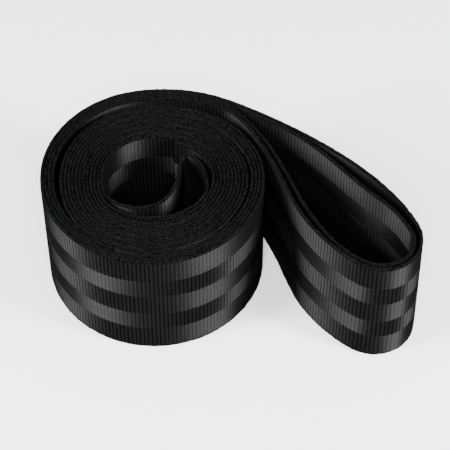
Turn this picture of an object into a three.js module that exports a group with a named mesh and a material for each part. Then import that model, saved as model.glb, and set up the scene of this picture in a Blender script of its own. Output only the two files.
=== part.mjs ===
// A flat nylon strap, doubled twice into a stack of four layers and rolled up,
// standing on its edge with the doubled bight left out of the roll as a loop.
// Millimetres, +Z up; the width of the strap runs along Z.

import * as THREE from 'three';

// Webbing
const strapWidth = 50;
const strapThickness = 1.2;

// Clearance between layers that touch, in the outermost turn and in the turns inside it
const outerSlip = 0.04;
const innerSlip = 0.08;

// Roll, seen from above and wound counter-clockwise inwards
const turns = 4;
const coreRadius = 17;
const rollOffset = 0.95;
const rollOffsetAngle = -52;
const outerTurnSlack = 0.68;
const outerTurnSway = 0.58;
const outerTurnSwayAngle = 80;
const crescentGap = 1.3;
const crescentEnd = 180;
const crescentFade = 50;

// Where every turn steps inwards by the thickness of the stack
const stepStart = -15;
const stepEnd = 90;

// Neck, where the stack leaves the roll for the loop
const neckAngle = 51;
const liftStart = 100;
const neckLift = 4.15;

// Loop, measured from the roll's outer face and its middle
const bightReach = 38.7;
const bightDrop = 28.1;
const bightRadius = 13.7;
const bightStart = 23;
const bightEnd = -125;
const waistReach = 7.7;
const waistDrop = 7.8;
const waistHeading = 109;
const backWallHandles = [26, 27];
const frontLowerHandles = [13.3, 13.3];
const frontUpperHandles = [17, 9];

// Width of the gap between the loop's two layers: how far round the loop, and how wide
const loopGaps = [
  [0.1, 0],
  [0.3, 4.2],
  [0.4, 2.2],
  [0.48, 0.7],
  [0.62, 0.4],
  [0.74, 1.4],
  [0.86, 0.8],
  [0.97, 0],
];

// Inner fold of the two middle layers' ends, which bulges into the bore
const curlStart = 211;
const foldJoin = 335;
const foldPlace = [11.8, 7.6];
const foldRadius = 1.6;
const foldEnd = 60;
const foldSideHandles = [8, 3.5];
const curlHandles = [7, 31.8];
const innerFoldSag = 1.4;

// Facets
const turnSteps = 36;
const loopSteps = { backWall: 10, bight: 14, frontLower: 7, frontUpper: 9 };
const curlSteps = 16;
const foldSteps = 8;
const foldSideSteps = 8;

// The four layers of the stack, from the outside of the roll inwards
const layer = { outerBack: 0, innerBack: 1, innerFront: 2, outerFront: 3 };
const layerCount = Object.keys(layer).length;

const stepAngle = 360 / turnSteps;
const lastTurn = 360 * (turns - 1);
const outerPitch = strapThickness + outerSlip;
const innerPitch = strapThickness + innerSlip;
const toRadians = THREE.MathUtils.degToRad;
const { smoothstep, lerp } = THREE.MathUtils;

function direction(degrees) {
  return new THREE.Vector2(Math.cos(toRadians(degrees)), Math.sin(toRadians(degrees)));
}

// Outer face of the stack in one turn, before it steps in to the next; turn 1 is outermost
function turnRadius(turn, angle) {
  const bore = coreRadius + rollOffset * Math.cos(toRadians(angle - rollOffsetAngle));
  const innerTurns = bore + crescentGap + (turns + 1 - Math.max(turn, 2)) * layerCount * innerPitch;
  if (turn === 1) {
    const sway = outerTurnSway * Math.cos(toRadians(angle - outerTurnSwayAngle));
    return innerTurns + outerTurnSlack + sway + layerCount * outerPitch;
  }
  const crescent = 1 - smoothstep(angle, crescentEnd, crescentEnd + crescentFade);
  return innerTurns - crescentGap * crescent;
}

// How far the stack has stepped in from its turn to the next, 0 to 1, at an unwound angle
function turnPlace(angle) {
  const turn = Math.max(1, Math.floor((angle - stepStart) / 360));
  const stepped = smoothstep(angle, 360 * turn + stepStart, 360 * turn + stepEnd);
  return { turn, stepped };
}

function stackRadius(angle) {
  const { turn, stepped } = turnPlace(angle);
  const own = turnRadius(turn, angle - 360 * (turn - 1));
  const next = turnRadius(turn + 1, angle - 360 * turn);
  const lift = neckLift * (Math.max(0, liftStart - angle) / (liftStart - neckAngle)) ** 2;
  return lerp(own, next, stepped) + lift;
}

function stackPitch(angle) {
  const { turn, stepped } = turnPlace(angle);
  return turn === 1 ? lerp(outerPitch, innerPitch, stepped) : innerPitch;
}

// One cross-section of the strap: its middle, and half its thickness as a vector
function station(middle, across) {
  return { middle, half: across.clone().multiplyScalar(strapThickness / 2) };
}

function rollStation(index, angle) {
  const across = direction(angle);
  const middleRadius = stackRadius(angle) - index * stackPitch(angle) - strapThickness / 2;
  const foldSpan = foldJoin - curlStart;
  const pastCurl = THREE.MathUtils.clamp((angle - lastTurn - curlStart) / foldSpan, 0, 1);
  const sag = index === layer.innerFront ? innerFoldSag * Math.sin(Math.PI * pastCurl) ** 2 : 0;
  return station(across.clone().multiplyScalar(middleRadius - sag), across);
}

// A layer's stations from the neck inwards, up to an unwound angle
function rollLayer(index, endAngle) {
  const stations = [];
  for (let angle = neckAngle + stepAngle; angle <= endAngle; angle += stepAngle) {
    stations.push(rollStation(index, angle));
  }
  return stations;
}

// A curve that leaves one point and reaches another at given headings
function sweep(from, fromHeading, to, toHeading, handles) {
  const first = direction(fromHeading).multiplyScalar(handles[0]).add(from);
  const second = direction(toHeading).multiplyScalar(-handles[1]).add(to);
  return new THREE.CubicBezierCurve(from, first, second, to);
}

// Middle line of the loop's outer layer, clockwise from the neck and back to it
function outerLoop() {
  const rollRadius = turnRadius(1, 0);
  const liftSlope = (2 * neckLift) / toRadians(liftStart - neckAngle);
  const neckRadius = stackRadius(neckAngle) - strapThickness / 2;
  const neckHeading = neckAngle - 90 + THREE.MathUtils.radToDeg(Math.atan(liftSlope / neckRadius));
  const backNeck = direction(neckAngle).multiplyScalar(neckRadius);
  const stackDepth = (layerCount - 1) * outerPitch;
  const frontNeck = direction(neckHeading - 90).multiplyScalar(stackDepth).add(backNeck);

  const bight = new THREE.Vector2(rollRadius + bightReach, -bightDrop);
  const bightIn = direction(bightStart).multiplyScalar(bightRadius).add(bight);
  const bightOut = direction(bightEnd).multiplyScalar(bightRadius).add(bight);
  const waist = new THREE.Vector2(rollRadius + waistReach, -waistDrop);
  const inHeading = bightStart - 90;
  const outHeading = bightEnd - 90;

  return [
    [sweep(backNeck, neckHeading, bightIn, inHeading, backWallHandles), loopSteps.backWall],
    [new THREE.ArcCurve(bight.x, bight.y, bightRadius,
      toRadians(bightStart), toRadians(bightEnd), true), loopSteps.bight],
    [sweep(bightOut, outHeading, waist, waistHeading, frontLowerHandles), loopSteps.frontLower],
    [sweep(waist, waistHeading, frontNeck, neckHeading + 180, frontUpperHandles),
      loopSteps.frontUpper],
  ];
}

// Gap between the two layers at a share of the way round the loop
function gapAt(share) {
  const next = loopGaps.findIndex(([place]) => place > share);
  if (next <= 0) {
    return 0;
  }
  const [[fromPlace, fromGap], [toPlace, toGap]] = loopGaps.slice(next - 1, next + 1);
  return lerp(fromGap, toGap, smoothstep(share, fromPlace, toPlace));
}

// Both layers of the loop, each as stations clockwise from the neck and back to it
function loopLayers() {
  const curves = outerLoop();
  const total = curves.reduce((sum, [curve]) => sum + curve.getLength(), 0);
  const outer = [];
  const inner = [];
  let travelled = 0;
  for (const [curve, steps] of curves) {
    const first = outer.length === 0 ? 0 : 1;
    for (let step = first; step <= steps; step += 1) {
      const middle = curve.getPointAt(step / steps);
      const tangent = curve.getTangentAt(step / steps);
      const outward = new THREE.Vector2(-tangent.y, tangent.x);
      const share = (travelled + (curve.getLength() * step) / steps) / total;
      const inset = outerPitch + gapAt(share);
      outer.push(station(middle, outward));
      inner.push(station(outward.clone().multiplyScalar(-inset).add(middle), outward));
    }
    travelled += curve.getLength();
  }
  return { outer, inner };
}

function curveStations(curve, steps, skipFirst, skipLast) {
  const stations = [];
  for (let step = skipFirst ? 1 : 0; step <= steps - (skipLast ? 1 : 0); step += 1) {
    const tangent = curve.getTangentAt(step / steps);
    stations.push(station(curve.getPointAt(step / steps), new THREE.Vector2(tangent.y, -tangent.x)));
  }
  return stations;
}

// The strap's inner fold: from the outer front layer, through the bore, to the inner front layer
function innerFold() {
  const curlAngle = lastTurn + curlStart;
  const joinAngle = lastTurn + foldJoin;
  const from = rollStation(layer.outerFront, curlAngle).middle;
  const to = rollStation(layer.innerFront, joinAngle).middle;
  const bend = new THREE.Vector2(...foldPlace);
  const leftSide = direction(180).multiplyScalar(foldRadius).add(bend);
  const rightSide = direction(foldEnd).multiplyScalar(foldRadius).add(bend);
  const fold = new THREE.ArcCurve(bend.x, bend.y, foldRadius, Math.PI, toRadians(foldEnd), true);
  const curl = sweep(from, curlAngle + 90, leftSide, 90, curlHandles);
  const side = sweep(rightSide, foldEnd - 90, to, joinAngle - 90, foldSideHandles);
  return [
    ...curveStations(curl, curlSteps, true, false),
    ...curveStations(fold, foldSteps, true, true),
    ...curveStations(side, foldSideSteps, false, true),
  ];
}

// Every station of the strap, from one free end to the other
function strapStations() {
  const endAngle = lastTurn + 360 + neckAngle + stepAngle;
  const { outer, inner } = loopLayers();
  const turned = ({ middle, half }) => ({ middle, half: half.clone().negate() });
  return [
    ...rollLayer(layer.outerBack, endAngle).reverse(),
    ...outer,
    ...rollLayer(layer.outerFront, lastTurn + curlStart).map(turned),
    ...innerFold().map(turned),
    ...rollLayer(layer.innerFront, lastTurn + foldJoin).reverse(),
    ...inner.reverse().map(turned),
    ...rollLayer(layer.innerBack, endAngle).map(turned),
  ];
}

// A closed band through the stations, with a rectangular section as tall as the strap is wide
function bandGeometry(stations) {
  const positions = [];
  for (const { middle, half } of stations) {
    const left = middle.clone().add(half);
    const right = middle.clone().sub(half);
    positions.push(left.x, left.y, 0, left.x, left.y, strapWidth);
    positions.push(right.x, right.y, strapWidth, right.x, right.y, 0);
  }
  const corners = 4;
  const indices = [0, 2, 1, 0, 3, 2];
  for (let index = 0; index < stations.length - 1; index += 1) {
    for (let corner = 0; corner < corners; corner += 1) {
      const here = index * corners + corner;
      const beside = index * corners + ((corner + 1) % corners);
      indices.push(here, beside, here + corners);
      indices.push(beside, beside + corners, here + corners);
    }
  }
  const last = (stations.length - 1) * corners;
  indices.push(last, last + 1, last + 2, last, last + 2, last + 3);

  const geometry = new THREE.BufferGeometry();
  geometry.setAttribute('position', new THREE.Float32BufferAttribute(positions, 3));
  geometry.setIndex(indices);
  geometry.computeVertexNormals();
  return geometry;
}

function webbingStrap() {
  const geometry = bandGeometry(strapStations());
  geometry.computeBoundingBox();
  const middle = geometry.boundingBox.getCenter(new THREE.Vector3());
  geometry.translate(-middle.x, -middle.y, 0);
  const blackNylon = new THREE.MeshStandardMaterial({
    color: 0x1b1c1e,
    roughness: 0.8,
    metalness: 0,
  });
  const mesh = new THREE.Mesh(geometry, blackNylon);
  mesh.name = 'webbing_strap';
  return mesh;
}

const model = new THREE.Group();
model.add(webbingStrap());

export default model;
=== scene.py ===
"""A rolled nylon webbing strap with its doubled bight left out as a loop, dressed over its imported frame.

Everything is in metres in the part's own frame: +X from the roll to the loop's end, +Z up.
The strap is one long grid of points: its middle line is worked out with numpy from the roll's
and the loop's own sizes, and a woven section is carried along it.
"""

import math

import bmesh
import bpy
import numpy as np
from bpy.props import FloatProperty, FloatVectorProperty, IntProperty, PointerProperty
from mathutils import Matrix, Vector


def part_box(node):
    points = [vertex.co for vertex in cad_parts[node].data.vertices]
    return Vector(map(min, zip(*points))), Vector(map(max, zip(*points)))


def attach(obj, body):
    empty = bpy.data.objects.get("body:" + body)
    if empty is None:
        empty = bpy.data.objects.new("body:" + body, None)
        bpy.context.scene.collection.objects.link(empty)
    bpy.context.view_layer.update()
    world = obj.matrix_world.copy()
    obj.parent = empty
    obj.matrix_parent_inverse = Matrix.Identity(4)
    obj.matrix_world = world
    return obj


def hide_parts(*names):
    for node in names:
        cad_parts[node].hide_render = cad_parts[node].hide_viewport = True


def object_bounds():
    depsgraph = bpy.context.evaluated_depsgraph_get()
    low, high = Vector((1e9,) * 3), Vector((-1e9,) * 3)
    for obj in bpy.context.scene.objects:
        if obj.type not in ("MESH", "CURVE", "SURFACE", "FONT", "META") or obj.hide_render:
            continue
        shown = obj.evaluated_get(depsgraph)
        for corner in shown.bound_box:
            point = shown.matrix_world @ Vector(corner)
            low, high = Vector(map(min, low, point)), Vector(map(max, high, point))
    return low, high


bl_info = {
    "name": "Rolled webbing strap",
    "version": (1, 0, 0),
    "blender": (4, 5, 0),
    "location": "View3D > Sidebar > Webbing",
    "description": "Weaves a rolled nylon strap over its packed frame, with its stage and camera",
    "category": "Add Mesh",
}

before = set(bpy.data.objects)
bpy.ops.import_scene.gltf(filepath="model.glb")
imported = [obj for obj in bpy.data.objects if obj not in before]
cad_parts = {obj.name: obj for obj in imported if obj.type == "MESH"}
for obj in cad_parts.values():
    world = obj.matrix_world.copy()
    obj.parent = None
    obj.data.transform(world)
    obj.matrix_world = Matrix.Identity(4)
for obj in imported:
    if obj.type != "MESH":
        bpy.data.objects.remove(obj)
cad_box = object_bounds()
node_low, node_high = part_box("webbing_strap")

MM = 0.001
BODY = "root"
NODE = "webbing_strap"

# Roll, seen from above and wound counter-clockwise inwards; lengths in millimetres, angles in degrees
STRAP_THICKNESS = 1.2
OUTER_PITCH = 1.24
INNER_PITCH = 1.28
LAYERS = 4
TURNS = 4
CORE_RADIUS = 17.0
ROLL_OFFSET = 0.95
ROLL_OFFSET_ANGLE = -52
OUTER_TURN_SLACK = 0.68
OUTER_TURN_SWAY = 0.58
OUTER_TURN_SWAY_ANGLE = 80
CRESCENT_GAP = 1.3
CRESCENT_END = 180
CRESCENT_FADE = 50
STEP_START = -15
STEP_END = 90

# Neck, where the stack leaves the roll for the loop
NECK_ANGLE = 51
LIFT_START = 100
NECK_LIFT = 4.15

# Loop, measured from the roll's outer face and its middle
BIGHT_REACH = 38.7
BIGHT_DROP = 28.1
BIGHT_RADIUS = 13.7
BIGHT_START = 23
BIGHT_END = -125
WAIST_REACH = 7.7
WAIST_DROP = 7.8
WAIST_HEADING = 109
BACK_WALL_HANDLES = (26, 27)
FRONT_LOWER_HANDLES = (13.3, 13.3)
FRONT_UPPER_HANDLES = (17, 9)
LOOP_GAPS = (
    (0.0, 0), (0.1, 0), (0.3, 4.2), (0.4, 2.2), (0.48, 0.7),
    (0.62, 0.4), (0.74, 1.4), (0.86, 0.8), (0.97, 0), (1.0, 0),
)

# Inner fold of the two middle layers' ends, which bulges into the bore
CURL_START = 211
FOLD_JOIN = 335
FOLD_PLACE = (11.8, 7.6)
FOLD_RADIUS = 1.6
FOLD_END = 60
FOLD_SIDE_HANDLES = (8, 3.5)
CURL_HANDLES = (7, 31.8)
INNER_FOLD_SAG = 1.4

# Layers of the stack, from the outside of the roll inwards
OUTER_BACK, INNER_BACK, INNER_FRONT, OUTER_FRONT = range(LAYERS)

# Where a rib's crest lies, as a share of its pitch
RIB_CREST = 0.9

# Lines between the five woven panels, down from the upper edge
PANEL_LINES = (11.5, 20.0, 30.0, 38.5)
PANEL_LINE_HALF = 0.2
STRAP_WIDTH = 50.0

# Woven edges: how deep their round is, and how far down the dull yarn of their loops reaches
SELVEDGE_DEPTH = 0.75
SHOULDER = 1.15
SELVEDGE_ANGLES = (18, 62, 118, 162)
EDGE_FULLNESS = 1.3

# Weft loops on the edges, as shares of their height: at the rib's foot, at its crest, and their middles
LOOP_FOOT = 0.15
LOOP_CREST = 1.0
LEAST_LOOP = 0.4
UPPER_LOOP_MIDDLE = 0.4
LOWER_LOOP_MIDDLE = 0.5
LOOP_ROUNDING = 0.6
LOOP_SHIFT = 0.10

# Wander of the edges: the wave lengths along the strap, and the shares of it that each edge takes
UPPER_WAVE = 170.0
LOWER_WAVE = 210.0
UPPER_WANDER = 0.5
LOWER_WANDER = 0.3

# The loop's foot starts to lean out this far past the roll, and leans fully from the second distance on
LEAN_START = 6
LEAN_FULL = 20

# Nylon: fineness of its yarns along and across the strap, and the relief of yarns and twill. The rib and
# twill shade values paint shade into the yarn's colour: a dark line at each rib's foot, and darker furrows
# in the twill
YARN_SCALE = (2200, 3200, 1)
NYLON_GLOSS = 0.27
YARN_RELIEF = 0.045
TWILL_RELIEF = 0.014
RIB_FOOT_PAINTED_SHADE = 0.4
TWILL_FURROW_PAINTED_SHADE = 0.15

# Dull yarn of the edges and the ribs' steps, with specks whose colour is painted shade: light in their
# middles and dark down into the pits between them
EDGE_ROUGHNESS = 0.7
EDGE_GLOSS = 0.05
EDGE_SPECK_SCALE = 1300
EDGE_SPECK_RELIEF = 0.25

# Camera: the point it stands at, how far it looks down, and its lens
CAMERA_PLACE = (-0.00140, -0.40321, 0.538)
CAMERA_DOWN = 52
SENSOR_WIDTH = 36
FOCAL_LENGTH = 145.84


def direction(degrees):
    """Unit vector in the plan at an angle: its cosine and its sine."""
    angle = np.radians(degrees)
    return np.stack([np.cos(angle), np.sin(angle)], axis=-1)


def ease(value, low, high):
    """Smooth step from 0 at low to 1 at high: 3 t squared less 2 t cubed."""
    t = np.clip((value - low) / (high - low), 0, 1)
    return t * t * (3 - 2 * t)


def turn_radius(turn, angle):
    """Outer face of the stack in a turn: the bore, set off its middle, plus the turns outside it."""
    bore = CORE_RADIUS + ROLL_OFFSET * np.cos(np.radians(angle - ROLL_OFFSET_ANGLE))
    inner_turns = bore + CRESCENT_GAP + (TURNS + 1 - np.maximum(turn, 2)) * LAYERS * INNER_PITCH
    crescent = 1 - ease(angle, CRESCENT_END, CRESCENT_END + CRESCENT_FADE)
    sway = OUTER_TURN_SWAY * np.cos(np.radians(angle - OUTER_TURN_SWAY_ANGLE))
    outermost = inner_turns + OUTER_TURN_SLACK + sway + LAYERS * OUTER_PITCH
    return np.where(turn == 1, outermost, inner_turns - CRESCENT_GAP * crescent)


def turn_place(angle):
    """The turn at an unwound angle, and how far the stack has stepped in to the next, 0 to 1."""
    turn = np.maximum(1, np.floor((angle - STEP_START) / 360))
    return turn, ease(angle, 360 * turn + STEP_START, 360 * turn + STEP_END)


def stack_radius(angle):
    """Outer face of the stack along its spiral: one turn eased into the next, lifted at the neck."""
    turn, stepped = turn_place(angle)
    own = turn_radius(turn, angle - 360 * (turn - 1))
    following = turn_radius(turn + 1, angle - 360 * turn)
    lift = NECK_LIFT * (np.maximum(0, LIFT_START - angle) / (LIFT_START - NECK_ANGLE)) ** 2
    return own + (following - own) * stepped + lift


def roll_path(layer, first_angle, last_angle):
    """A layer's middle line in the roll: a spiral of the stack's radius less the layers outside it."""
    angle = np.linspace(first_angle, last_angle, int(abs(last_angle - first_angle)) + 1)
    turn, stepped = turn_place(angle)
    pitch = np.where(turn == 1, OUTER_PITCH + (INNER_PITCH - OUTER_PITCH) * stepped, INNER_PITCH)
    radius = stack_radius(angle) - layer * pitch - STRAP_THICKNESS / 2
    if layer == INNER_FRONT:
        past_curl = (angle - 360 * (TURNS - 1) - CURL_START) / (FOLD_JOIN - CURL_START)
        radius = radius - INNER_FOLD_SAG * np.sin(np.pi * np.clip(past_curl, 0, 1)) ** 2
    return radius[:, None] * direction(angle)


def sweep(start, start_heading, end, end_heading, handles, count=160):
    """A cubic Bezier curve between two points that leaves and arrives at given headings."""
    first = start + handles[0] * direction(start_heading)
    second = end - handles[1] * direction(end_heading)
    t = np.linspace(0, 1, count)[:, None]
    return ((1 - t) ** 3 * start + 3 * (1 - t) ** 2 * t * first
            + 3 * (1 - t) * t ** 2 * second + t ** 3 * end)


def arc(middle, radius, first_angle, last_angle, count=160):
    """Points on a circle from one angle to another."""
    return middle + radius * direction(np.linspace(first_angle, last_angle, count))


def run_lengths(path):
    """Distance along a path to each of its points."""
    steps = np.hypot(*np.diff(path, axis=0).T)
    return np.concatenate([[0], np.cumsum(steps)])


def left_of(path):
    """Unit vectors square to a path, on its left: the tangent turned by a quarter."""
    tangent = np.gradient(path, axis=0)
    tangent /= np.hypot(*tangent.T)[:, None]
    return np.stack([-tangent[:, 1], tangent[:, 0]], axis=1)


def loop_paths():
    """Middle lines of the loop's two layers, clockwise from the neck: the outer one is a chain of
    curves through the bight and the waist, and the inner one lies inside it by a varying gap."""
    roll_radius = turn_radius(1, 0)
    neck_radius = stack_radius(NECK_ANGLE) - STRAP_THICKNESS / 2
    lift_slope = 2 * NECK_LIFT / math.radians(LIFT_START - NECK_ANGLE)
    neck_heading = NECK_ANGLE - 90 + math.degrees(math.atan(lift_slope / neck_radius))
    back_neck = neck_radius * direction(NECK_ANGLE)
    front_neck = back_neck + (LAYERS - 1) * OUTER_PITCH * direction(neck_heading - 90)
    bight = np.array([roll_radius + BIGHT_REACH, -BIGHT_DROP])
    bight_in = bight + BIGHT_RADIUS * direction(BIGHT_START)
    bight_out = bight + BIGHT_RADIUS * direction(BIGHT_END)
    waist = np.array([roll_radius + WAIST_REACH, -WAIST_DROP])
    outer = np.concatenate([
        sweep(back_neck, neck_heading, bight_in, BIGHT_START - 90, BACK_WALL_HANDLES),
        arc(bight, BIGHT_RADIUS, BIGHT_START, BIGHT_END)[1:],
        sweep(bight_out, BIGHT_END - 90, waist, WAIST_HEADING, FRONT_LOWER_HANDLES)[1:],
        sweep(waist, WAIST_HEADING, front_neck, neck_heading + 180, FRONT_UPPER_HANDLES)[1:],
    ])
    along = run_lengths(outer)
    share = along / along[-1]
    gap = np.zeros(len(share))
    for (low, low_gap), (high, high_gap) in zip(LOOP_GAPS, LOOP_GAPS[1:]):
        here = (share >= low) & (share <= high)
        gap[here] = low_gap + (high_gap - low_gap) * ease(share[here], low, high)
    inner = outer - (OUTER_PITCH + gap)[:, None] * left_of(outer)
    return outer, inner


def fold_path():
    """Middle line of the inner fold: a curl across the bore, a half circle, and a side back to the roll."""
    last_turn = 360 * (TURNS - 1)
    start = roll_path(OUTER_FRONT, last_turn + CURL_START - 1, last_turn + CURL_START)[-1]
    end = roll_path(INNER_FRONT, last_turn + FOLD_JOIN - 1, last_turn + FOLD_JOIN)[-1]
    bend = arc(np.array(FOLD_PLACE), FOLD_RADIUS, 180, FOLD_END, 60)
    return np.concatenate([
        sweep(start, last_turn + CURL_START + 90, bend[0], 90, CURL_HANDLES)[1:],
        bend[1:],
        sweep(bend[-1], FOLD_END - 90, end, last_turn + FOLD_JOIN - 90, FOLD_SIDE_HANDLES)[1:-1],
    ])


def strap_path():
    """The strap's whole middle line from one cut end to the other, in millimetres about the roll's
    middle, with the first and last distance of each stretch whose broad faces show."""
    last_turn = 360 * (TURNS - 1)
    end_angle = last_turn + 360 + NECK_ANGLE + 10
    outer_loop, inner_loop = loop_paths()
    stretches = [
        (roll_path(OUTER_BACK, end_angle, NECK_ANGLE + 360), False),
        (roll_path(OUTER_BACK, NECK_ANGLE + 360, NECK_ANGLE), True),
        (outer_loop, True),
        (roll_path(OUTER_FRONT, NECK_ANGLE, NECK_ANGLE + 200), True),
        (roll_path(OUTER_FRONT, NECK_ANGLE + 200, last_turn - 30), False),
        (roll_path(OUTER_FRONT, last_turn - 30, last_turn + CURL_START), True),
        (fold_path(), True),
        (roll_path(INNER_FRONT, last_turn + FOLD_JOIN, last_turn + CURL_START), True),
        (roll_path(INNER_FRONT, last_turn + CURL_START, NECK_ANGLE), False),
        (inner_loop[::-1], True),
        (roll_path(INNER_BACK, NECK_ANGLE, last_turn + 340), False),
        (roll_path(INNER_BACK, last_turn + 340, end_angle), True),
    ]
    path = np.concatenate([points for points, _ in stretches])
    shown = np.concatenate([np.full(len(points), faces) for points, faces in stretches])
    return path, shown


def woven_stations(rib_pitch, softening=1.2, step=0.4):
    """Stations on the middle line, two to a rib: its foot, and its crest nine tenths of a rib on.
    The line is first softened by a bell-shaped mean of its neighbours. Gives the stations' points,
    left-hand normals, distances, and whether their broad faces show."""
    path, shown = strap_path()
    moved = np.concatenate([[True], np.hypot(*np.diff(path, axis=0).T) > 1e-6])
    path = path[moved]
    shown = shown[moved].astype(float)
    along = run_lengths(path)
    even = np.linspace(0, along[-1], int(along[-1] / step) + 1)
    points = np.stack([np.interp(even, along, path[:, axis]) for axis in range(2)], axis=1)
    reach = int(3 * softening / step)
    bell = np.exp(-0.5 * (np.arange(-reach, reach + 1) * step / softening) ** 2)
    bell /= bell.sum()
    padded = np.concatenate([
        2 * points[0] - points[reach:0:-1],
        points,
        2 * points[-1] - points[-2:-reach - 2:-1],
    ])
    points = np.stack([np.convolve(padded[:, axis], bell, mode="valid") for axis in range(2)], axis=1)
    normals = left_of(points)
    ribs = int(along[-1] / rib_pitch)
    pitch = along[-1] / ribs
    distance = (np.arange(ribs)[:, None] * pitch + np.array([0, RIB_CREST * pitch])).ravel()
    distance = np.append(distance, along[-1])
    middle = np.stack([np.interp(distance, even, points[:, axis]) for axis in range(2)], axis=1)
    normal = np.stack([np.interp(distance, even, normals[:, axis]) for axis in range(2)], axis=1)
    normal /= np.hypot(*normal.T)[:, None]
    faces = np.interp(distance, along, shown) > 0.5
    return middle, normal, distance, faces


def slow_wave(distance, length, seed):
    """A slow, even wander along the strap, from -1 to 1: three sines of unlike lengths and phases."""
    phases = np.random.RandomState(seed).uniform(0, 2 * np.pi, 3)
    waves = [np.sin(2 * np.pi * distance / (length * stretch) + phase)
             for stretch, phase in zip((1.0, 0.618, 0.382), phases)]
    return np.sum(waves, axis=0) / 3


class StrapSettings(bpy.types.PropertyGroup):
    """Sizes and colours of the webbing."""

    rib_pitch: FloatProperty(
        name="Rib pitch", description="Distance between the ribs that run across the strap",
        default=1.42 * MM, unit="LENGTH", precision=5)
    rib_height: FloatProperty(
        name="Rib height", description="Height of a rib's crest over its foot",
        default=0.09 * MM, unit="LENGTH", precision=5)
    rib_tilt: FloatProperty(
        name="Rib tilt", description="Lean of the yarns over the ribs, to one side or the other by panel",
        default=math.radians(15), unit="ROTATION")
    bead_height: FloatProperty(
        name="Edge loop height", description="How far the weft loops stand out of the edges",
        default=0.28 * MM, unit="LENGTH", precision=5)
    edge_wander: FloatProperty(
        name="Edge wander", description="How far the edges rise and fall along the strap",
        default=0.25 * MM, unit="LENGTH", precision=5)
    lean: FloatProperty(
        name="Loop lean", description="How far the loop's foot stands out past its upper edge",
        default=0.7 * MM, unit="LENGTH", precision=5)
    nylon_color: FloatVectorProperty(
        name="Nylon", description="Colour of the dyed yarn",
        default=(0.0036, 0.0036, 0.0039), subtype="COLOR", size=3, min=0, max=1)
    nylon_roughness: FloatProperty(
        name="Roughness", description="Roughness of the yarn, whose gloss spreads across the strap",
        default=0.56, subtype="FACTOR", min=0, max=1)
    seed: IntProperty(
        name="Seed", description="Start of the weave's small irregularities", default=7)


class StageSettings(bpy.types.PropertyGroup):
    """Floor and lights."""

    floor_size: FloatProperty(
        name="Floor size", description="Length of the floor's sides", default=6.0, unit="LENGTH")
    floor_color: FloatVectorProperty(
        name="Floor", description="Colour of the floor", default=(0.9, 0.9, 0.9),
        subtype="COLOR", size=3, min=0, max=1)
    side_light: FloatProperty(
        name="Side lights", description="Power of each side softbox", default=28.0, unit="POWER")
    front_fill: FloatProperty(
        name="Front fill", description="Power of the soft light over the camera", default=30.0, unit="POWER")
    sky_strength: FloatProperty(
        name="Surrounding light", description="Strength of the even light all round", default=0.9)


def section_columns():
    """The woven section as columns round it: each a height down from the upper edge, a side from
    -1 to 1 across the thickness, a panel number, and whether only shown faces have it."""
    half_turns = np.radians(SELVEDGE_ANGLES)
    rows = []
    for turn in half_turns:
        rows.append((SELVEDGE_DEPTH * (1 - np.sin(turn)), np.cos(turn), 0, False))
    lines = [(line, index) for index, line in enumerate(PANEL_LINES)]
    rows.append((SHOULDER, -1, 0, True))
    for line, index in lines:
        rows.append((line - PANEL_LINE_HALF, -1, index, True))
        rows.append((line + PANEL_LINE_HALF, -1, index + 1, True))
    rows.append((STRAP_WIDTH - SHOULDER, -1, 4, True))
    for turn in half_turns:
        rows.append((-SELVEDGE_DEPTH * (1 - np.sin(turn)), -np.cos(turn), 4, False))
    rows.append((STRAP_WIDTH - SHOULDER, 1, 4, True))
    for line, index in reversed(lines):
        rows.append((line + PANEL_LINE_HALF, 1, index + 1, True))
        rows.append((line - PANEL_LINE_HALF, 1, index, True))
    rows.append((SHOULDER, 1, 0, True))
    return rows


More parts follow.
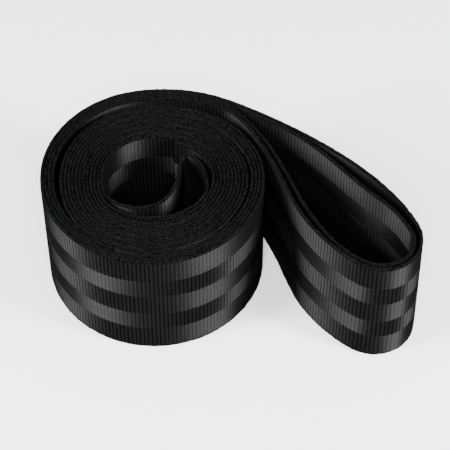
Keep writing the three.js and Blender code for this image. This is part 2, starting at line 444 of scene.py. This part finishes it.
def strap_points(settings, width):
    """Points of the strap on a grid of stations by section columns. Each lies at its station's
    middle, moved square to it by half the thickness plus the rib's height, which is a saw tooth
    along the strap that falls in odd panels and rises in even ones. The edges' loops lift their
    columns by a wave of the same pitch, uneven from loop to loop, and the loop's foot leans out.
    Gives the points, their heights, and the stations' distances and shown faces."""
    middle, normal, distance, shown = woven_stations(settings.rib_pitch / MM)
    random = np.random.RandomState(settings.seed)
    station = np.arange(len(distance))
    phase = station % 2
    loop_lift = random.uniform(LEAST_LOOP, 1.0, (len(distance) // 2 + 1, 2))[station // 2]
    loop_side = random.uniform(-1, 1, (len(distance), 2))
    loop_shape = np.array([LOOP_FOOT, LOOP_CREST])[phase]
    wander = settings.edge_wander / MM
    height = width / MM
    upper = height + UPPER_WANDER * wander * slow_wave(distance, UPPER_WAVE, settings.seed)
    lower = LOWER_WANDER * wander * slow_wave(distance, LOWER_WAVE, settings.seed + 1)
    rib = settings.rib_height / MM
    bead = settings.bead_height / MM
    core = STRAP_THICKNESS / 2 - rib / 2
    roll_radius = turn_radius(1, 0)
    from_loop = middle - np.array([roll_radius + BIGHT_REACH / 2, 0])
    outward = np.sign(np.sum(normal * from_loop, axis=1))
    in_loop = ease(np.hypot(*middle.T), roll_radius + LEAN_START, roll_radius + LEAN_FULL)
    lean = settings.lean / MM * in_loop * outward

    reach = normal * STRAP_THICKNESS / 2
    outline = np.concatenate([middle + reach, middle - reach])
    middle = middle - (outline.min(axis=0) + outline.max(axis=0)) / 2

    columns = []
    heights = []
    for down, side, panel, faces_only in section_columns():
        tooth = (phase if panel % 2 == 1 else 1 - phase) - 0.5
        across = side * core + np.sign(side) * rib * tooth * min(1.0, abs(side) * EDGE_FULLNESS)
        roundness = bead * (1 - abs(side) * LOOP_ROUNDING)
        if panel == 0 and not faces_only:
            across = across + LOOP_SHIFT * loop_side[:, 0]
            rise = upper - down + roundness * (loop_lift[:, 0] * loop_shape - UPPER_LOOP_MIDDLE)
        elif panel == 4 and not faces_only:
            across = across + LOOP_SHIFT * loop_side[:, 1]
            rise = lower - down - roundness * (loop_lift[:, 1] * loop_shape - LOWER_LOOP_MIDDLE)
        else:
            rise = lower + (upper - lower) * (1 - down / height)
        outwards = across + lean * (1 - rise / height)
        columns.append(np.stack([
            middle[:, 0] + normal[:, 0] * outwards,
            middle[:, 1] + normal[:, 1] * outwards,
            rise,
        ], axis=1))
        heights.append(rise)
    return np.stack(columns, axis=1), np.stack(heights, axis=1), distance, shown


def strap_faces(shown, faces_only):
    """Faces between neighbouring stations: quads round the full section where the broad faces
    show, quads round the edges alone elsewhere, a fan where the two meet, and both cut ends."""
    stations = len(shown)
    columns = len(faces_only)
    every = np.arange(columns)
    edges = every[~faces_only]
    faces = []
    for here, beside in zip(every, np.roll(every, -1)):
        index = np.flatnonzero(shown[:-1] & shown[1:])
        faces.append(quads(index, here, beside, columns))
    for here, beside in zip(edges, np.roll(edges, -1)):
        hidden = ~(shown[:-1] & shown[1:])
        index = np.flatnonzero(hidden)
        if (beside - here) % columns == 1:
            faces.append(quads(index, here, beside, columns))
        else:
            both_hidden = np.flatnonzero(hidden & ~shown[:-1] & ~shown[1:])
            faces.append(quads(both_hidden, here, beside, columns))
    quad_list = np.concatenate(faces).tolist()
    fans = []
    for index in np.flatnonzero(shown[:-1] != shown[1:]):
        full = index if shown[index] else index + 1
        plain = index + 1 if shown[index] else index
        for here, beside in zip(edges, np.roll(edges, -1)):
            between = (beside - here) % columns
            if between > 1:
                run = [(full * columns + (here + step) % columns) for step in range(between + 1)]
                ends = [plain * columns + beside, plain * columns + here]
                fan = run + ends
                fans.append(fan if full == index else fan[::-1])
    first_cap = [int(c) for c in (every if shown[0] else edges)]
    last_start = (stations - 1) * columns
    last_cap = [int(last_start + c) for c in (every if shown[-1] else edges)][::-1]
    return quad_list, fans, [first_cap, last_cap]


def quads(index, here, beside, columns):
    """Quads from one column to the next between each listed station and the one after it."""
    base = index * columns
    return np.stack([base + here, base + beside, base + columns + beside, base + columns + here], axis=1)


def add_value(nodes, operation, first, second):
    """A math node on two sockets or numbers."""
    node = nodes.new("ShaderNodeMath")
    node.operation = operation
    for socket, value in zip(node.inputs, (first, second)):
        if isinstance(value, bpy.types.NodeSocket):
            node.id_data.links.new(value, socket)
        elif value is not None:
            socket.default_value = value
    return node.outputs[0]


def nylon_material(settings, width):
    """Dyed nylon webbing: dark yarn whose gloss spreads across the strap, with a fine twill that
    slants one way in odd panels and the other way in even ones. The yarns' lean is a turn of the
    shading normal alone, against the slope of the mesh's ribs, and makes the light and dark patches.
    Its colour has shade painted in: darker at each rib's foot and in the twill's furrows, over a
    random tone from yarn to yarn."""
    material = bpy.data.materials.new("black_nylon_webbing")
    material.use_nodes = True
    nodes = material.node_tree.nodes
    links = material.node_tree.links
    shader = nodes["Principled BSDF"]
    shader.inputs["Roughness"].default_value = settings.nylon_roughness
    shader.inputs["Specular IOR Level"].default_value = NYLON_GLOSS
    shader.inputs["Anisotropic"].default_value = 1.0
    shader.inputs["Anisotropic Rotation"].default_value = 0.25

    tangent = nodes.new("ShaderNodeTangent")
    tangent.direction_type = "UV_MAP"
    tangent.uv_map = "along_and_across"
    links.new(tangent.outputs["Tangent"], shader.inputs["Tangent"])

    place = nodes.new("ShaderNodeUVMap")
    place.uv_map = "along_and_across"
    split = nodes.new("ShaderNodeSeparateXYZ")
    links.new(place.outputs["UV"], split.inputs["Vector"])

    height = add_value(nodes, "DIVIDE", split.outputs["Y"], width)
    slant = nodes.new("ShaderNodeValToRGB")
    slant.color_ramp.interpolation = "CONSTANT"
    slant.color_ramp.elements[1].position = 1 - PANEL_LINES[3] * MM / width
    for line in PANEL_LINES[2::-1]:
        slant.color_ramp.elements.new(1 - line * MM / width)
    for index, element in enumerate(slant.color_ramp.elements):
        element.color = (*[index % 2] * 3, 1)
    links.new(height, slant.inputs["Fac"])
    side = add_value(nodes, "SUBTRACT", add_value(nodes, "MULTIPLY", slant.outputs["Color"], 2), 1)
    climb = add_value(nodes, "MULTIPLY", side, split.outputs["Y"])
    slanted = add_value(nodes, "ADD", split.outputs["X"], climb)
    turns = add_value(nodes, "MULTIPLY", slanted, 4 * math.pi / settings.rib_pitch)
    twill = add_value(nodes, "SINE", turns, None)

    yarn_scale = nodes.new("ShaderNodeMapping")
    yarn_scale.inputs["Scale"].default_value = YARN_SCALE
    links.new(place.outputs["UV"], yarn_scale.inputs["Vector"])
    yarn = nodes.new("ShaderNodeTexNoise")
    yarn.inputs["Scale"].default_value = 1.0
    yarn.inputs["Detail"].default_value = 2.0
    links.new(yarn_scale.outputs["Vector"], yarn.inputs["Vector"])

    color = nodes.new("ShaderNodeMix")
    color.data_type = "RGBA"
    dark = [value * 0.1 for value in settings.nylon_color]
    light = [value * 1.9 for value in settings.nylon_color]
    color.inputs["A"].default_value = (*dark, 1)
    color.inputs["B"].default_value = (*light, 1)
    # Painted shade: the colour is darkest on the step down from each rib's crest to the next foot, and
    # lightest about half a rib on
    rib_turns = add_value(nodes, "MULTIPLY", split.outputs["X"], 2 * math.pi / settings.rib_pitch)
    rib_foot_shade_wave = add_value(nodes, "SINE", add_value(nodes, "ADD", rib_turns, -0.4 * math.pi), None)
    painted_shade_and_yarn_tone = add_value(nodes, "ADD", add_value(nodes, "MULTIPLY", rib_foot_shade_wave, RIB_FOOT_PAINTED_SHADE), yarn.outputs["Fac"])
    # Painted shade: the colour darkens in the twill's furrows, where the twill's bump below is lowest
    painted_shade_and_yarn_tone = add_value(nodes, "ADD", painted_shade_and_yarn_tone, add_value(nodes, "MULTIPLY", twill, TWILL_FURROW_PAINTED_SHADE))
    links.new(painted_shade_and_yarn_tone, color.inputs["Factor"])
    links.new(color.outputs["Result"], shader.inputs["Base Color"])

    tilt = nodes.new("ShaderNodeCombineXYZ")
    leaning = add_value(nodes, "MULTIPLY", side, math.sin(settings.rib_tilt) / 2)
    links.new(add_value(nodes, "ADD", leaning, 0.5), tilt.inputs["X"])
    tilt.inputs["Y"].default_value = 0.5
    tilt.inputs["Z"].default_value = 0.5 + math.cos(settings.rib_tilt) / 2
    leaned = nodes.new("ShaderNodeNormalMap")
    leaned.uv_map = "along_and_across"
    links.new(tilt.outputs["Vector"], leaned.inputs["Color"])

    fibres = add_value(nodes, "MULTIPLY", yarn.outputs["Fac"], YARN_RELIEF * MM)
    ridges = add_value(nodes, "MULTIPLY", twill, TWILL_RELIEF * MM)
    bump = nodes.new("ShaderNodeBump")
    bump.inputs["Strength"].default_value = 1.0
    bump.inputs["Distance"].default_value = 1.0
    links.new(add_value(nodes, "ADD", fibres, ridges), bump.inputs["Height"])
    links.new(leaned.outputs["Normal"], bump.inputs["Normal"])
    links.new(bump.outputs["Normal"], shader.inputs["Normal"])
    return material


def edge_material(settings):
    """The edges' weft loops and the steps between ribs: the same yarn seen end on, dull and specked.
    Its colour is painted shade: lighter in each speck's middle and darker down into the pits of its relief.
    """
    material = bpy.data.materials.new("black_nylon_edge")
    material.use_nodes = True
    nodes = material.node_tree.nodes
    links = material.node_tree.links
    shader = nodes["Principled BSDF"]
    shader.inputs["Roughness"].default_value = EDGE_ROUGHNESS
    shader.inputs["Specular IOR Level"].default_value = EDGE_GLOSS
    body = nodes.new("ShaderNodeTexCoord")
    specks = nodes.new("ShaderNodeTexVoronoi")
    specks.inputs["Scale"].default_value = EDGE_SPECK_SCALE
    links.new(body.outputs["Object"], specks.inputs["Vector"])
    # Painted shade: the colour runs from light in each speck's raised middle to dark in the pits between
    # specks
    pit_shade_ramp = nodes.new("ShaderNodeValToRGB")
    dark = [value * 0.12 for value in settings.nylon_color]
    light = [value * 1.7 for value in settings.nylon_color]
    pit_shade_ramp.color_ramp.elements[0].color = (*light, 1)
    pit_shade_ramp.color_ramp.elements[1].color = (*dark, 1)
    pit_shade_ramp.color_ramp.elements[1].position = 0.75
    links.new(specks.outputs["Distance"], pit_shade_ramp.inputs["Fac"])
    links.new(pit_shade_ramp.outputs["Color"], shader.inputs["Base Color"])
    bump = nodes.new("ShaderNodeBump")
    bump.inputs["Strength"].default_value = 1.0
    bump.inputs["Distance"].default_value = 1.0
    pits = add_value(nodes, "MULTIPLY", specks.outputs["Distance"], -EDGE_SPECK_RELIEF * MM)
    links.new(pits, bump.inputs["Height"])
    links.new(bump.outputs["Normal"], shader.inputs["Normal"])
    return material


class WEBBING_OT_strap(bpy.types.Operator):
    """Weave the rolled strap over its node"""

    bl_idname = "webbing.strap"
    bl_label = "Webbing strap"

    def execute(self, context):
        settings = context.scene.webbing_strap_settings
        width = node_high[2] - node_low[2]
        points, rises, distance, shown = strap_points(settings, width)
        faces_only = np.array([column[3] for column in section_columns()])
        points += [(node_low[0] + node_high[0]) / 2 / MM,
                   (node_low[1] + node_high[1]) / 2 / MM,
                   node_low[2] / MM]

        quad_list, fans, caps = strap_faces(shown, faces_only)
        vertices = (points.reshape(-1, 3) * MM)
        mesh = bpy.data.meshes.new("woven_strap")
        mesh.from_pydata(vertices.tolist(), [], quad_list + fans + caps)
        step_faces = np.zeros(len(mesh.polygons), dtype=bool)
        step_faces[:len(quad_list)] = np.array(quad_list)[:, 0] // points.shape[1] % 2 == 1
        ribs = len(distance) // 2
        even_ribs = distance * (ribs * settings.rib_pitch / MM / distance[-1])
        along = np.repeat(even_ribs[:, None], points.shape[1], axis=1)
        uv = np.stack([along.ravel() * MM, rises.ravel() * MM], axis=1)
        corners = np.empty(len(mesh.loops), dtype=np.int32)
        mesh.loops.foreach_get("vertex_index", corners)
        layer = mesh.uv_layers.new(name="along_and_across")
        layer.data.foreach_set("uv", uv[corners].ravel())
        mesh.update()
        centres = np.empty(len(mesh.polygons) * 3)
        mesh.polygons.foreach_get("center", centres)
        from_middle = np.abs(centres[2::3] - node_low[2] - width / 2)
        at_edge = from_middle > width / 2 - SHOULDER * MM
        mesh.polygons.foreach_set("material_index", (step_faces | at_edge).astype(np.int32))

        mesh.materials.append(nylon_material(settings, width))
        mesh.materials.append(edge_material(settings))
        remove_loose_points(mesh)
        piece = bpy.data.objects.new("woven_strap", mesh)
        context.scene.collection.objects.link(piece)
        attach(piece, BODY)
        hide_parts(NODE)
        return {"FINISHED"}


def remove_loose_points(mesh):
    """Deletes the points that no face uses: the broad faces' columns where only the edges show."""
    work = bmesh.new()
    work.from_mesh(mesh)
    loose = [vertex for vertex in work.verts if not vertex.link_faces]
    bmesh.ops.delete(work, geom=loose, context="VERTS")
    bmesh.ops.recalc_face_normals(work, faces=work.faces[:])
    work.to_mesh(mesh)
    work.free()


def aim(place, target):
    """Rotation that turns an object's -Z from its place to a target."""
    return (Vector(target) - Vector(place)).to_track_quat("-Z", "Y").to_euler()


def softbox(context, name, place, size, power):
    """A rectangular area light that looks at the strap, with its long side upright."""
    light = bpy.data.lights.new(name, "AREA")
    light.shape = "RECTANGLE"
    light.size, light.size_y = size
    light.energy = power
    lamp = bpy.data.objects.new(name, light)
    lamp.location = place
    lamp.rotation_euler = aim(place, (0, 0, 0.02))
    context.scene.collection.objects.link(lamp)
    return lamp


class WEBBING_OT_stage(bpy.types.Operator):
    """Lay the floor, hang the lights and set the camera"""

    bl_idname = "webbing.stage"
    bl_label = "Stage and camera"

    def execute(self, context):
        settings = context.scene.webbing_stage_settings
        camera = bpy.data.cameras.new("camera")
        camera.sensor_width = SENSOR_WIDTH
        camera.lens = FOCAL_LENGTH
        camera.clip_start = 0.01
        camera.clip_end = 20
        viewer = bpy.data.objects.new("camera", camera)
        viewer.location = CAMERA_PLACE
        viewer.rotation_euler = (math.radians(90 - CAMERA_DOWN), 0, 0)
        context.scene.collection.objects.link(viewer)
        context.scene.camera = viewer

        half = settings.floor_size / 2
        mesh = bpy.data.meshes.new("floor")
        mesh.from_pydata([(-half, -half, 0), (half, -half, 0), (half, half, 0), (-half, half, 0)],
                         [], [(0, 1, 2, 3)])
        floor = bpy.data.objects.new("floor", mesh)
        floor.location.z = cad_box[0][2] - 0.0002
        material = bpy.data.materials.new("pale_floor")
        material.use_nodes = True
        shader = material.node_tree.nodes["Principled BSDF"]
        shader.inputs["Base Color"].default_value = (*settings.floor_color, 1)
        shader.inputs["Roughness"].default_value = 0.9
        shader.inputs["Specular IOR Level"].default_value = 0.1
        mesh.materials.append(material)
        context.scene.collection.objects.link(floor)
        floor.visible_glossy = False

        softbox(context, "left_softbox", (-0.84, -0.34, 0.59), (0.25, 0.7), settings.side_light)
        softbox(context, "right_softbox", (0.83, -0.36, 0.59), (0.2, 0.6), settings.side_light)
        fill = softbox(context, "front_fill", (0, -0.75, 1.0), (0.4, 0.4), settings.front_fill)
        fill.visible_glossy = False

        world = bpy.data.worlds.new("even_light")
        world.use_nodes = True
        background = world.node_tree.nodes["Background"]
        background.inputs["Color"].default_value = (1, 1, 1, 1)
        background.inputs["Strength"].default_value = settings.sky_strength
        world.cycles_visibility.glossy = False
        context.scene.world = world
        return {"FINISHED"}


class WEBBING_PT_panel(bpy.types.Panel):
    """Webbing strap and stage"""

    bl_label = "Webbing"
    bl_idname = "WEBBING_PT_panel"
    bl_space_type = "VIEW_3D"
    bl_region_type = "UI"
    bl_category = "Webbing"

    def draw(self, context):
        layout = self.layout
        for settings in (context.scene.webbing_strap_settings, context.scene.webbing_stage_settings):
            for name in settings.__annotations__:
                layout.prop(settings, name)
        layout.operator(WEBBING_OT_stage.bl_idname)
        layout.operator(WEBBING_OT_strap.bl_idname)


CLASSES = (StrapSettings, StageSettings, WEBBING_OT_strap, WEBBING_OT_stage, WEBBING_PT_panel)


def register():
    """Registers the classes and hangs the settings on the scene."""
    for cls in CLASSES:
        bpy.utils.register_class(cls)
    bpy.types.Scene.webbing_strap_settings = PointerProperty(type=StrapSettings)
    bpy.types.Scene.webbing_stage_settings = PointerProperty(type=StageSettings)


def unregister():
    """Takes the settings and the classes away again."""
    del bpy.types.Scene.webbing_strap_settings
    del bpy.types.Scene.webbing_stage_settings
    for cls in reversed(CLASSES):
        bpy.utils.unregister_class(cls)


def main():
    """Registers the add-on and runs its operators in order."""
    register()
    bpy.ops.webbing.stage()
    bpy.ops.webbing.strap()


if __name__ == "__main__":
    main()
